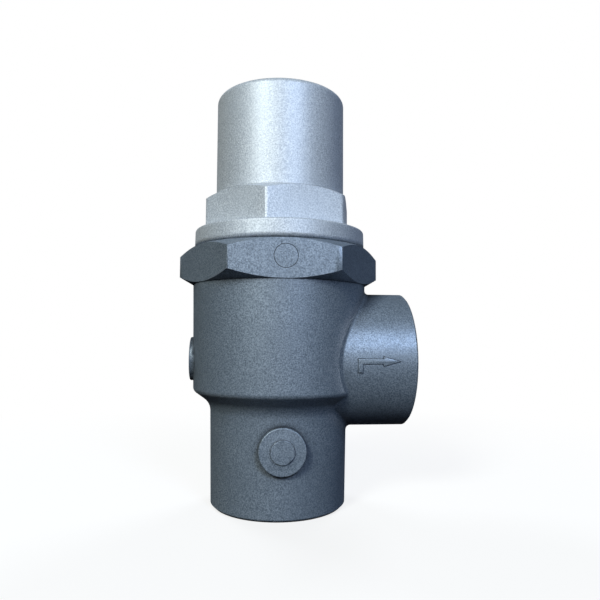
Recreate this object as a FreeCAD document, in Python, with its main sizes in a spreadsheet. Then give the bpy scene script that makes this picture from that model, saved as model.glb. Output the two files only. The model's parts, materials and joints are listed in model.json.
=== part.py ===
# Minimum pressure and non-return valve for the outlet of a screw compressor's separator tank.
# A dark cast angle body stands on its inlet neck, with its outlet to the side (+X). A silver
# screwed bonnet on top holds the spring. Inside, a cup piston closes the outer seat and is
# guided in the bonnet, and a check poppet slides in the piston's hub and closes the throat.
# All sizes are in millimetres. The origin is the centre of the inlet mouth, +Z is up the bonnet.

import FreeCAD
import Part
import Sketcher

import math
import os

doc = FreeCAD.newDocument("MinimumPressureValve")

# Driving sizes. Each one is written once and goes into a cell of the sheet.

SIZES = {
    # Casting, outside
    "neck_wall": 6.2,
    "neck_draft": 0.6,
    "neck_edge_chamfer": 1.0,
    "shoulder_drop": 14.75,
    "shoulder_rise": 4.3,
    "shoulder_inner_round": 5.5,
    "shoulder_outer_round": 2.0,
    "barrel_inset": 0.25,
    "barrel_draft": 0.55,
    "collar_gap": 2.55,
    "collar_thickness": 12.3,
    "collar_flats": 60.0,
    "collar_corner_round": 0.4,
    "outlet_wall": 6.15,
    "outlet_height": 48.7,
    "outlet_stand": 13.25,
    "outlet_edge_chamfer": 0.6,
    "outlet_blend": 1.6,
    "test_boss_drop": 12.4,
    "round_boss_radius": 7.4,
    "test_boss_stand": 1.5,
    "rear_boss_stand": 0.95,
    "boss_root": 1.0,
    "pad_radius": 3.7,
    "pad_stand": 0.4,
    "boss_edge_round": 0.4,
    # Casting, inside
    "port_radius": 16.6,
    "inlet_port_depth": 18.0,
    "outlet_port_depth": 17.0,
    "port_edge_chamfer": 0.5,
    "passage_radius": 13.0,
    "seat_drop": 7.6,
    "seat_groove_depth": 1.5,
    "land_margin": 0.6,
    "ring_pocket_depth": 4.0,
    "ring_pocket_floor_width": 1.8,
    "ring_pocket_slope_rise": 5.0,
    "chamber_gap": 4.3,
    # Bonnet
    "thread_step": 0.7,
    "thread_clearance": 0.1,
    "thread_relief": 1.2,
    "pilot_length": 6.6,
    "pilot_clearance": 0.1,
    "flange_shelf": 2.8,
    "flange_flare": 0.15,
    "flange_thickness": 6.3,
    "flange_edge_round": 0.8,
    "bonnet_hex_flats": 46.4,
    "bonnet_corner_cut": 0.29,
    "bonnet_hex_height": 12.0,
    "bonnet_hex_turn": -102.5,
    "spanner_chamfer_angle": 30.0,
    "cutter_overrun": 1.0,
    "cap_step": 0.87,
    "cap_height": 35.0,
    "cap_edge_round": 2.0,
    "roof_thickness": 5.5,
    "spring_clearance": 1.8,
    "vent_radius": 1.0,
    "vent_flat": 3,
    "bonnet_ring_section": 2.0,
    "bonnet_ring_groove_width": 2.6,
    "bonnet_ring_drop": 4.0,
    # Piston
    "piston_radius": 20.0,
    "running_clearance": 0.05,
    "seal_clearance": 0.02,
    "piston_height": 43.0,
    "piston_travel": 9.0,
    "skirt_wall": 2.6,
    "web_thickness": 5.5,
    "cup_wall": 1.5,
    "cup_clearance": 0.7,
    "hub_gap": 2.0,
    "face_seal_width": 1.6,
    "face_seal_depth": 2.0,
    "seal_stand": 0.3,
    "seat_gap": 0.05,
    "stop_gap": 0.1,
    "piston_ring_drop": 13.5,
    "piston_ring_section": 2.4,
    "piston_ring_play": 0.3,
    "back_up_thickness": 1.3,
    "guide_ring_drop": 3.0,
    "guide_ring_width": 6.0,
    "guide_ring_thickness": 1.5,
    "stop_ring_thickness": 1.6,
    # Check poppet
    "check_travel": 3.0,
    "skirt_clearance": 2.2,
    "seat_overlap": 2.7,
    "stem_radius": 4.0,
    "stem_clearance": 0.05,
    "bush_wall": 1.5,
    "bush_length": 12.0,
    "bush_shoulder": 1.6,
    "poppet_thickness": 3.2,
    "check_seal_margin": 0.2,
    "check_seal_thickness": 2.0,
    "seal_plate_clearance": 0.9,
    "seal_plate_thickness": 2.5,
    "screw_radius": 2.5,
    "screw_hole_clearance": 0.1,
    "screw_head_radius": 4.2,
    "screw_head_height": 2.6,
    "screw_grip": 9.0,
    "screw_tip_space": 1.0,
    "screw_socket_flats": 3.0,
    "screw_socket_depth": 1.6,
    "circlip_gap": 0.5,
    "circlip_thickness": 1.0,
    "circlip_stand": 2.2,
    "circlip_groove_depth": 0.5,
    "circlip_wrap": 300.0,
    "stem_end": 2.0,
    "stem_end_chamfer": 0.6,
    # Springs and what they sit on
    "main_wire_radius": 2.2,
    "main_turns": 9.0,
    "lower_washer_thickness": 1.5,
    "upper_seat_thickness": 2.5,
    "upper_seat_spigot": 5.0,
    "upper_seat_hole": 6.0,
    "shim_thickness": 0.8,
    "shim_count": 2,
    "washer_clearance": 0.4,
    "check_wire_radius": 0.4,
    "check_coil_gap": 1.0,
    "check_turns": 6.0,
    "check_spring_length": 13.0,
    "spring_end_gap": 0.05,
}

sheet = doc.addObject("Spreadsheet::Sheet", "Sizes")
for row, (name, value) in enumerate(SIZES.items(), start=1):
    sheet.set("A%d" % row, name)
    sheet.set("B%d" % row, str(value))
    sheet.setAlias("B%d" % row, name)

# Heights and radii that the driving sizes decide, from the outside inwards.

LEVELS = {
    # Casting, outside
    "neck_mouth_radius": "Sizes.port_radius + Sizes.neck_wall",
    "neck_top_radius": "Places.neck_mouth_radius + Sizes.neck_draft",
    "outlet_boss_radius": "Sizes.port_radius + Sizes.outlet_wall",
    "shoulder_foot": "Sizes.outlet_height - Sizes.shoulder_drop",
    "shoulder_top": "Places.shoulder_foot + Sizes.shoulder_rise",
    "collar_foot": "Sizes.outlet_height + Places.outlet_boss_radius + Sizes.collar_gap",
    "collar_top": "Places.collar_foot + Sizes.collar_thickness",
    "barrel_top_radius": "Sizes.collar_flats / 2 - Sizes.barrel_inset",
    "barrel_foot_radius": "Places.barrel_top_radius - Sizes.barrel_draft",
    "barrel_slope": "Sizes.barrel_draft / (Places.collar_foot - Places.shoulder_top)",
    "barrel_middle_radius": "Places.barrel_foot_radius"
                            " + Places.barrel_slope * (Sizes.outlet_height - Places.shoulder_top)",
    "outlet_reach": "Places.barrel_top_radius + Sizes.outlet_stand",
    "rear_boss_reach": "Places.barrel_middle_radius + Sizes.rear_boss_stand",
    "test_boss_height": "Places.shoulder_foot - Sizes.test_boss_drop",
    "neck_slope": "Sizes.neck_draft / Places.shoulder_foot",
    "test_boss_reach": "Places.neck_mouth_radius + Places.neck_slope * Places.test_boss_height"
                       " + Sizes.test_boss_stand",
    # Casting, inside, from the piston outwards and inwards
    "seat_height": "Sizes.outlet_height - Sizes.seat_drop",
    "chamber_radius": "Sizes.piston_radius + Sizes.chamber_gap",
    "thread_radius": "Places.chamber_radius + Sizes.thread_step",
    "skirt_inner_radius": "Sizes.piston_radius - Sizes.skirt_wall",
    "poppet_radius": "Places.skirt_inner_radius - Sizes.skirt_clearance",
    "throat_radius": "Places.poppet_radius - Sizes.seat_overlap",
    "pillar_radius": "Sizes.piston_radius + Sizes.land_margin",
    "pocket_floor": "Places.seat_height - Sizes.ring_pocket_depth",
    "check_lip_radius": "Places.poppet_radius + Sizes.land_margin",
    # Bonnet
    "hex_foot": "Places.collar_top + Sizes.flange_thickness",
    "cap_foot": "Places.hex_foot + Sizes.bonnet_hex_height",
    "bonnet_top": "Places.cap_foot + Sizes.cap_height",
    "roof": "Places.bonnet_top - Sizes.roof_thickness",
    "bonnet_corner_radius": "Sizes.bonnet_hex_flats / sqrt(3) - Sizes.bonnet_corner_cut",
    "flange_top_radius": "Places.bonnet_corner_radius + Sizes.flange_shelf",
    "flange_foot_radius": "Places.flange_top_radius + Sizes.flange_flare",
    "cap_radius": "Sizes.bonnet_hex_flats / 2 - Sizes.cap_step",
    "spigot_radius": "Places.thread_radius - Sizes.thread_clearance",
    "spigot_foot": "Places.collar_foot + Sizes.thread_relief",
    "pilot_radius": "Places.chamber_radius - Sizes.pilot_clearance",
    "pilot_foot": "Places.collar_foot - Sizes.pilot_length",
    "bonnet_ring_height": "Places.collar_foot - Sizes.bonnet_ring_drop",
    "bonnet_groove_radius": "Places.chamber_radius - Sizes.bonnet_ring_section",
    # Check poppet
    "seal_foot": "Places.seat_height + Sizes.seat_gap",
    "check_seal_top": "Places.seal_foot + Sizes.check_seal_thickness",
    "poppet_top": "Places.check_seal_top + Sizes.poppet_thickness",
    "check_coil_radius": "Sizes.stem_radius + Sizes.check_coil_gap + Sizes.check_wire_radius",
    "check_pocket_radius": "Places.check_coil_radius + Sizes.check_wire_radius + Sizes.washer_clearance",
    "check_spring_top": "Places.poppet_top + Sizes.check_spring_length",
    "bush_foot": "Places.check_spring_top + Sizes.bush_shoulder",
    "hub_top": "Places.bush_foot + Sizes.bush_length",
    "bush_bore": "Sizes.stem_radius + Sizes.stem_clearance",
    "bush_radius": "Places.bush_bore + Sizes.bush_wall",
    "screw_hole_radius": "Sizes.screw_radius + Sizes.screw_hole_clearance",
    "seal_plate_foot": "Places.seal_foot - Sizes.seal_plate_thickness",
    "screw_foot": "Places.seal_plate_foot - Sizes.screw_head_height",
    "screw_top": "Places.check_seal_top + Sizes.screw_grip",
    "circlip_foot": "Places.hub_top + Sizes.piston_travel + Sizes.circlip_gap",
    "circlip_top": "Places.circlip_foot + Sizes.circlip_thickness",
    "circlip_groove_radius": "Sizes.stem_radius - Sizes.circlip_groove_depth",
    "stem_top": "Places.circlip_top + Sizes.stem_end",
    # Piston
    "piston_foot": "Places.seal_foot + Sizes.seal_stand",
    "piston_top": "Places.piston_foot + Sizes.piston_height",
    "ceiling": "Places.poppet_top + Sizes.check_travel + Sizes.stop_gap",
    "web_top": "Places.ceiling + Sizes.web_thickness",
    "stop_ring_foot": "Places.piston_top + Sizes.piston_travel + Sizes.stop_gap",
    "stop_shoulder": "Places.stop_ring_foot + Sizes.stop_ring_thickness",
    "guide_bore": "Sizes.piston_radius + Sizes.running_clearance",
    "ring_reach": "Places.guide_bore - Sizes.seal_clearance",
    "piston_groove_radius": "Places.ring_reach - Sizes.piston_ring_section - Sizes.seal_clearance",
    "piston_groove_foot": "Places.piston_top - Sizes.piston_ring_drop - Sizes.piston_ring_section",
    "back_up_foot": "Places.piston_groove_foot + Sizes.piston_ring_section + Sizes.piston_ring_play",
    "piston_groove_top": "Places.back_up_foot + Sizes.back_up_thickness",
    "guide_groove_radius": "Places.ring_reach - Sizes.guide_ring_thickness - Sizes.seal_clearance",
    "guide_ring_top": "Places.piston_top - Sizes.guide_ring_drop",
    "guide_ring_foot": "Places.guide_ring_top - Sizes.guide_ring_width",
    "face_seal_inside": "(Places.skirt_inner_radius + Sizes.piston_radius - Sizes.face_seal_width) / 2",
    "face_seal_outside": "Places.face_seal_inside + Sizes.face_seal_width",
    "face_groove_top": "Places.piston_foot + Sizes.face_seal_depth",
    # Main spring and its seats
    "cup_radius": "Places.piston_groove_radius - Sizes.cup_wall",
    "main_coil_radius": "Places.cup_radius - Sizes.cup_clearance - Sizes.main_wire_radius",
    "main_spring_inside": "Places.main_coil_radius - Sizes.main_wire_radius",
    "hub_radius": "Places.main_spring_inside - Sizes.hub_gap",
    "spring_bore_radius": "Places.main_coil_radius + Sizes.main_wire_radius + Sizes.spring_clearance",
    "main_spring_foot": "Places.web_top + Sizes.lower_washer_thickness",
    "shim_foot": "Places.roof - Sizes.shim_count * Sizes.shim_thickness",
    "main_spring_top": "Places.shim_foot - Sizes.upper_seat_thickness",
    "seat_reach": "Places.spring_bore_radius - Sizes.washer_clearance",
}

places = doc.addObject("App::VarSet", "Places")
for name, rule in LEVELS.items():
    places.addProperty("App::PropertyFloat", name, "Places")
    places.setExpression(name, rule)
doc.recompute()

TURNED = "PartDesign::Revolution"
TURNED_AWAY = "PartDesign::Groove"
FRONT = FreeCAD.Vector(0, -1, 0)
OUTLET = FreeCAD.Vector(1, 0, 0)
CLOSE = 1e-4
CLOSE_ON_CURVE = 1e-3
ROOT_SHARES = (0.1, 0.5, 0.9)
HEXAGON_STEP = 60
CHAMFER_SLOPE = "tan(Sizes.spanner_chamfer_angle * 1 deg)"


def size(name):
    """Read a driving size or a level as a number."""
    if name in LEVELS:
        return places.getPropertyByName(name)
    return float(sheet.get(name))


def new_body(label):
    body = doc.addObject("PartDesign::Body", label)
    body.Label = label
    return body


def new_sketch(body, name, role, offset=None):
    """Start a sketch on one of the body's own origin planes, set off by a rule if there is one."""
    planes = body.Origin.OriginFeatures
    plane = next(feature for feature in planes if feature.Role == role)
    sketch = body.newObject("Sketcher::SketchObject", name)
    sketch.AttachmentSupport = [(plane, "")]
    sketch.MapMode = "FlatFace"
    if offset:
        sketch.setExpression(".AttachmentOffset.Base.z", offset)
    return sketch


def pin_point(sketch, edge, end, across, up):
    """Hold a point of the sketch at a pair of rules, measured from the sketch's origin."""
    for kind, rule, axis in (("DistanceX", across, -2), ("DistanceY", up, -1)):
        if rule == "0":
            sketch.addConstraint(Sketcher.Constraint("PointOnObject", edge, end, axis))
        else:
            index = sketch.addConstraint(Sketcher.Constraint(kind, -1, 1, edge, end, 1.0))
            sketch.setExpression("Constraints[%d]" % index, rule)


def outline(sketch, corners):
    """Draw a closed outline whose corners follow pairs of rules."""
    count = len(corners)
    loose = []
    for index in range(count):
        angle = 2 * math.pi * index / count
        loose.append(FreeCAD.Vector(2 + math.cos(angle), 2 + math.sin(angle), 0) * 20)
    for index in range(count):
        sketch.addGeometry(Part.LineSegment(loose[index], loose[(index + 1) % count]), False)
    for index in range(count):
        sketch.addConstraint(Sketcher.Constraint("Coincident", index, 2, (index + 1) % count, 1))
    for index, (across, up) in enumerate(corners):
        pin_point(sketch, index, 1, across, up)


def circle(sketch, radius, across, up):
    """Draw a circle whose centre and radius follow rules."""
    loose = Part.Circle(FreeCAD.Vector(1, 1, 0), FreeCAD.Vector(0, 0, 1), 5)
    edge = sketch.addGeometry(loose, False)
    index = sketch.addConstraint(Sketcher.Constraint("Radius", edge, 5))
    sketch.setExpression("Constraints[%d]" % index, radius)
    pin_point(sketch, edge, 3, across, up)


def turn_sketch(body, name, sketch, kind=TURNED, angle=360):
    """Turn a sketch about the vertical axis, to add it or to cut it away."""
    feature = body.newObject(kind, name)
    feature.Profile = sketch
    feature.ReferenceAxis = (sketch, ["V_Axis"])
    feature.Angle = angle
    doc.recompute()


def turn(body, name, corners, kind=TURNED, angle=360):
    """Turn an outline of radius and height about the vertical axis."""
    sketch = new_sketch(body, name + "_outline", "XZ_Plane")
    outline(sketch, corners)
    turn_sketch(body, name, sketch, kind, angle)


def ring_corners(inner, outer, foot, top):
    return [(inner, foot), (outer, foot), (outer, top), (inner, top)]


def column(body, name, role, radius, height, start, reach, backwards=False, cut=False):
    """Pad or cut a round column between two distances from an upright origin plane."""
    sketch = new_sketch(body, name + "_outline", role, ("-(%s)" if backwards else "%s") % start)
    circle(sketch, radius, "0", height)
    feature = body.newObject("PartDesign::Pocket" if cut else "PartDesign::Pad", name)
    feature.Profile = sketch
    feature.Reversed = backwards != cut
    feature.setExpression("Length", "(%s) - (%s)" % (reach, start))
    doc.recompute()


def hexagon(body, name, flats, foot, height, turned="0", cut=False):
    """Pad or cut a hexagon prism upwards from a height."""
    sketch = new_sketch(body, name + "_outline", "XY_Plane", foot)
    corners = []
    for index in range(6):
        angle = "((%s) + %d) * 1 deg" % (turned, HEXAGON_STEP * index)
        corners.append(("%s / sqrt(3) * cos(%s)" % (flats, angle), "%s / sqrt(3) * sin(%s)" % (flats, angle)))
    outline(sketch, corners)
    feature = body.newObject("PartDesign::Pocket" if cut else "PartDesign::Pad", name)
    feature.Profile = sketch
    feature.Reversed = cut
    feature.setExpression("Length", height)
    doc.recompute()


def dress(body, name, kind, test, rule):
    """Round or chamfer the edges of the body that pass a test."""
    base = body.Tip
    chosen = ["Edge%d" % (index + 1) for index, edge in enumerate(base.Shape.Edges) if test(edge)]
    if not chosen:
        raise RuntimeError("no edge found for " + name)
    feature = body.newObject("PartDesign::" + kind, name)
    feature.Base = (base, chosen)
    feature.setExpression("Radius" if kind == "Fillet" else "Size", rule)
    doc.recompute()


def circle_edge(radius, centre):
    """Make a test that finds the circle of a radius and centre."""
    def test(edge):
        if not isinstance(edge.Curve, Part.Circle):
            return False
        off_centre = edge.Curve.Center.distanceToPoint(centre)
        return abs(edge.Curve.Radius - radius) < CLOSE and off_centre < CLOSE
    return test


def level_circle(radius, height):
    return circle_edge(size(radius), FreeCAD.Vector(0, 0, size(height) if height else 0))


def boss_rim(radius, height, way, reach):
    return circle_edge(size(radius), way * size(reach) + FreeCAD.Vector(0, 0, size(height)))


def outlet_root(edge):
    """Find the edges where the outlet boss leaves the barrel, the shoulder and the neck."""
    first, last = edge.ParameterRange
    for share in ROOT_SHARES:
        point = edge.valueAt(first + share * (last - first))
        off_axis = math.hypot(point.y, point.z - size("outlet_height"))
        if abs(off_axis - size("outlet_boss_radius")) > CLOSE_ON_CURVE:
            return False
        if not 0 < point.x < size("outlet_reach") - size("outlet_edge_chamfer") - CLOSE_ON_CURVE:
            return False
    return True


def collar_corner(edge):
    """Find the upright edges at the corners of the hexagon collar."""
    if len(edge.Vertexes) != 2:
        return False
    foot, top = (vertex.Point for vertex in edge.Vertexes)
    off_corner = math.hypot(foot.x, foot.y) - size("collar_flats") / math.sqrt(3)
    aside = math.hypot(top.x - foot.x, top.y - foot.y)
    return abs(off_corner) < CLOSE and aside < CLOSE


def make_valve_body():
    body = new_body("valve_body")
    shape_casting(body)
    raise_round_bosses(body)
    shape_collar(body)
    bore_casting(body)


def shape_casting(body):
    """Neck, S-shaped shoulder and barrel, with the outlet boss blended in."""
    turn(body, "barrel", [
        ("0", "0"),
        ("Places.neck_mouth_radius", "0"),
        ("Places.neck_top_radius", "Places.shoulder_foot"),
        ("Places.barrel_foot_radius", "Places.shoulder_top"),
        ("Places.barrel_top_radius", "Places.collar_foot"),
        ("0", "Places.collar_foot"),
    ])
    dress(body, "shoulder_hollow", "Fillet", level_circle("neck_top_radius", "shoulder_foot"),
          "Sizes.shoulder_inner_round")
    dress(body, "shoulder_crown", "Fillet", level_circle("barrel_foot_radius", "shoulder_top"),
          "Sizes.shoulder_outer_round")
    column(body, "outlet_boss", "YZ_Plane", "Places.outlet_boss_radius", "Sizes.outlet_height",
           "0", "Places.outlet_reach")
    dress(body, "outlet_blend", "Fillet", outlet_root, "Sizes.outlet_blend")
    dress(body, "outlet_rim", "Chamfer",
          boss_rim("outlet_boss_radius", "outlet_height", OUTLET, "outlet_reach"),
          "Sizes.outlet_edge_chamfer")
    dress(body, "neck_rim", "Chamfer", level_circle("neck_mouth_radius", None), "Sizes.neck_edge_chamfer")


def raise_round_bosses(body):
    """Flat round bosses on the front of the neck and opposite the outlet, one with a raised disc."""
    column(body, "test_boss", "XZ_Plane", "Sizes.round_boss_radius", "Places.test_boss_height",
           "Sizes.port_radius + Sizes.boss_root", "Places.test_boss_reach")
    dress(body, "test_boss_edge", "Fillet",
          boss_rim("round_boss_radius", "test_boss_height", FRONT, "test_boss_reach"),
          "Sizes.boss_edge_round")
    column(body, "test_boss_disc", "XZ_Plane", "Sizes.pad_radius", "Places.test_boss_height",
           "Places.test_boss_reach - Sizes.boss_root", "Places.test_boss_reach + Sizes.pad_stand")
    column(body, "rear_boss", "YZ_Plane", "Sizes.round_boss_radius", "Sizes.outlet_height",
           "Places.chamber_radius + Sizes.boss_root", "Places.rear_boss_reach", backwards=True)
    dress(body, "rear_boss_edge", "Fillet",
          boss_rim("round_boss_radius", "outlet_height", -OUTLET, "rear_boss_reach"),
          "Sizes.boss_edge_round")


def shape_collar(body):
    """Hexagon collar with turned chamfers above and below."""
    hexagon(body, "collar", "Sizes.collar_flats", "Places.collar_foot", "Sizes.collar_thickness")
    dress(body, "collar_corners", "Fillet", collar_corner, "Sizes.collar_corner_round")
    chamfer_hexagon(body, "collar_top_chamfer", "Sizes.collar_flats", "Places.collar_top", -1)
    chamfer_hexagon(body, "collar_foot_chamfer", "Sizes.collar_flats", "Places.collar_foot", 1)


def chamfer_hexagon(body, name, flats, face, way):
    """Turn a hexagon's corners away at the spanner chamfer, from the radius of its flats outwards."""
    outside = "(%s / sqrt(3) + Sizes.cutter_overrun)" % flats
    drop = "%s * (%s - %s / 2)" % (CHAMFER_SLOPE, outside, flats)
    turn(body, name, [
        ("%s / 2" % flats, face),
        (outside, face),
        (outside, "%s + %d * %s" % (face, way, drop)),
    ], TURNED_AWAY)


def bore_casting(body):
    """Ports, throat with its two seat lips, ring pocket, chamber and bonnet thread."""
    groove_floor = "Places.seat_height - Sizes.seat_groove_depth"
    turn(body, "inlet_and_chamber", [
        ("0", "0"),
        ("Sizes.port_radius", "0"),
        ("Sizes.port_radius", "Sizes.inlet_port_depth"),
        ("Places.throat_radius", "Sizes.inlet_port_depth"),
        ("Places.throat_radius", "Places.seat_height"),
        ("Places.check_lip_radius", "Places.seat_height"),
        ("Places.check_lip_radius", groove_floor),
        ("Places.skirt_inner_radius", groove_floor),
        ("Places.skirt_inner_radius", "Places.seat_height"),
        ("Places.pillar_radius", "Places.seat_height"),
        ("Places.pillar_radius", "Places.pocket_floor"),
        ("Places.pillar_radius + Sizes.ring_pocket_floor_width", "Places.pocket_floor"),
        ("Places.chamber_radius", "Places.pocket_floor + Sizes.ring_pocket_slope_rise"),
        ("Places.chamber_radius", "Places.collar_foot"),
        ("Places.thread_radius", "Places.collar_foot"),
        ("Places.thread_radius", "Places.collar_top"),
        ("0", "Places.collar_top"),
    ], TURNED_AWAY)
    column(body, "outlet_port", "YZ_Plane", "Sizes.port_radius", "Sizes.outlet_height",
           "Places.outlet_reach - Sizes.outlet_port_depth", "Places.outlet_reach", cut=True)
    column(body, "outlet_passage", "YZ_Plane", "Sizes.passage_radius", "Sizes.outlet_height",
           "Places.pillar_radius + Sizes.land_margin", "Places.outlet_reach", cut=True)
    dress(body, "inlet_mouth", "Chamfer", level_circle("port_radius", None), "Sizes.port_edge_chamfer")
    dress(body, "outlet_mouth", "Chamfer",
          boss_rim("port_radius", "outlet_height", OUTLET, "outlet_reach"),
          "Sizes.port_edge_chamfer")


def make_spring_bonnet():
    body = new_body("spring_bonnet")
    shape_bonnet_hexagon(body)
    turn(body, "bonnet_outside", [
        ("0", "Places.pilot_foot"),
        ("Places.pilot_radius", "Places.pilot_foot"),
        ("Places.pilot_radius", "Places.spigot_foot"),
        ("Places.spigot_radius", "Places.spigot_foot"),
        ("Places.spigot_radius", "Places.collar_top"),
        ("Places.flange_foot_radius", "Places.collar_top"),
        ("Places.flange_top_radius", "Places.hex_foot"),
        ("Places.cap_radius", "Places.hex_foot"),
        ("Places.cap_radius", "Places.bonnet_top"),
        ("0", "Places.bonnet_top"),
    ])
    dress(body, "cap_edge", "Fillet", level_circle("cap_radius", "bonnet_top"), "Sizes.cap_edge_round")
    dress(body, "flange_edge", "Fillet", level_circle("flange_top_radius", "hex_foot"),
          "Sizes.flange_edge_round")
    bore_bonnet(body)


def shape_bonnet_hexagon(body):
    """Spanner hexagon whose corners are turned down to a narrow land and chamfered on top."""
    hexagon(body, "spanner_hexagon", "Sizes.bonnet_hex_flats", "Places.hex_foot",
            "Sizes.bonnet_hex_height", "Sizes.bonnet_hex_turn")
    outside = "Sizes.bonnet_hex_flats / sqrt(3) + Sizes.cutter_overrun"
    corner = "Places.bonnet_corner_radius"
    flat = "Sizes.bonnet_hex_flats / 2"
    turn(body, "hexagon_chamfer", [
        (flat, "Places.cap_foot"),
        (outside, "Places.cap_foot"),
        (outside, "Places.hex_foot"),
        (corner, "Places.hex_foot"),
        (corner, "Places.cap_foot - %s * (%s - %s)" % (CHAMFER_SLOPE, corner, flat)),
    ], TURNED_AWAY)


def bore_bonnet(body):
    """Guide bore up to the stop shoulder, spring bore, O-ring groove and breather hole."""
    turn(body, "guide_and_spring_bore", [
        ("0", "Places.pilot_foot"),
        ("Places.guide_bore", "Places.pilot_foot"),
        ("Places.guide_bore", "Places.stop_shoulder"),
        ("Places.spring_bore_radius", "Places.stop_shoulder"),
        ("Places.spring_bore_radius", "Places.roof"),
        ("0", "Places.roof"),
    ], TURNED_AWAY)
    half_groove = "Sizes.bonnet_ring_groove_width / 2"
    turn(body, "bonnet_ring_groove", ring_corners(
        "Places.bonnet_groove_radius", "Places.thread_radius",
        "Places.bonnet_ring_height - " + half_groove, "Places.bonnet_ring_height + " + half_groove,
    ), TURNED_AWAY)
    flat_angle = math.radians(size("bonnet_hex_turn") + (size("vent_flat") + 0.5) * HEXAGON_STEP)
    outwards = FreeCAD.Vector(math.cos(flat_angle), math.sin(flat_angle), 0)
    vent = body.newObject("PartDesign::SubtractiveCylinder", "breather_hole")
    vent.setExpression("Radius", "Sizes.vent_radius")
    vent.setExpression("Height", "Sizes.bonnet_hex_flats")
    vent.Placement = FreeCAD.Placement(FreeCAD.Vector(), FreeCAD.Rotation(FreeCAD.Vector(0, 0, 1), outwards))
    vent.setExpression(".Placement.Base.z", "Places.hex_foot + Sizes.bonnet_hex_height / 2")
    doc.recompute()


def make_turned(label, corners, angle=360):
    """A plain piece turned from one outline."""
    body = new_body(label)
    turn(body, "turned", corners, TURNED, angle)
    return body


def make_o_ring(label, coil_radius, section_radius, height):
    body = new_body(label)
    sketch = new_sketch(body, "section", "XZ_Plane")
    circle(sketch, section_radius, coil_radius, height)
    turn_sketch(body, "moulded", sketch)


def make_seals():
    """O-rings, guide and back-up rings, stop ring and the two seat seals."""
    make_o_ring("bonnet_o_ring", "Places.chamber_radius - Sizes.bonnet_ring_section / 2",
                "Sizes.bonnet_ring_section / 2 - Sizes.seal_clearance", "Places.bonnet_ring_height")
    make_o_ring("piston_o_ring", "Places.ring_reach - Sizes.piston_ring_section / 2",
                "Sizes.piston_ring_section / 2",
                "Places.piston_groove_foot + (Sizes.piston_ring_section + Sizes.piston_ring_play) / 2")
    make_turned("piston_back_up_ring", ring_corners(
        "Places.piston_groove_radius + Sizes.seal_clearance", "Places.ring_reach",
        "Places.back_up_foot", "Places.piston_groove_top - Sizes.seal_clearance"))
    make_turned("piston_guide_ring", ring_corners(
        "Places.guide_groove_radius + Sizes.seal_clearance", "Places.ring_reach",
        "Places.guide_ring_foot", "Places.guide_ring_top - Sizes.seal_clearance"))
    make_turned("lift_stop_ring", ring_corners(
        "Places.spring_bore_radius", "Places.ring_reach", "Places.stop_ring_foot", "Places.stop_shoulder"))
    make_turned("piston_face_seal", ring_corners(
        "Places.face_seal_inside", "Places.face_seal_outside", "Places.seal_foot", "Places.face_groove_top"))
    make_turned("check_seal", ring_corners(
        "Places.screw_hole_radius", "Places.poppet_radius - Sizes.check_seal_margin",
        "Places.seal_foot", "Places.check_seal_top"))


def make_piston():
    """Cup piston: skirt below, web, hub for the check valve's stem, and ring grooves outside."""
    make_turned("valve_piston", [
        ("Places.skirt_inner_radius", "Places.piston_foot"),
        ("Places.face_seal_inside", "Places.piston_foot"),
        ("Places.face_seal_inside", "Places.face_groove_top"),
        ("Places.face_seal_outside", "Places.face_groove_top"),
        ("Places.face_seal_outside", "Places.piston_foot"),
        ("Sizes.piston_radius", "Places.piston_foot"),
        ("Sizes.piston_radius", "Places.piston_groove_foot"),
        ("Places.piston_groove_radius", "Places.piston_groove_foot"),
        ("Places.piston_groove_radius", "Places.piston_groove_top"),
        ("Sizes.piston_radius", "Places.piston_groove_top"),
        ("Sizes.piston_radius", "Places.guide_ring_foot"),
        ("Places.guide_groove_radius", "Places.guide_ring_foot"),
        ("Places.guide_groove_radius", "Places.guide_ring_top"),
        ("Sizes.piston_radius", "Places.guide_ring_top"),
        ("Sizes.piston_radius", "Places.piston_top"),
        ("Places.cup_radius", "Places.piston_top"),
        ("Places.cup_radius", "Places.web_top"),
        ("Places.hub_radius", "Places.web_top"),
        ("Places.hub_radius", "Places.hub_top"),
        ("Places.bush_radius", "Places.hub_top"),
        ("Places.bush_radius", "Places.bush_foot"),
        ("Places.bush_bore", "Places.bush_foot"),
        ("Places.bush_bore", "Places.check_spring_top"),
        ("Places.check_pocket_radius", "Places.check_spring_top"),
        ("Places.check_pocket_radius", "Places.ceiling"),
        ("Places.skirt_inner_radius", "Places.ceiling"),
    ])
    make_turned("stem_bush", ring_corners(
        "Places.bush_bore", "Places.bush_radius", "Places.bush_foot", "Places.hub_top"))


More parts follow.
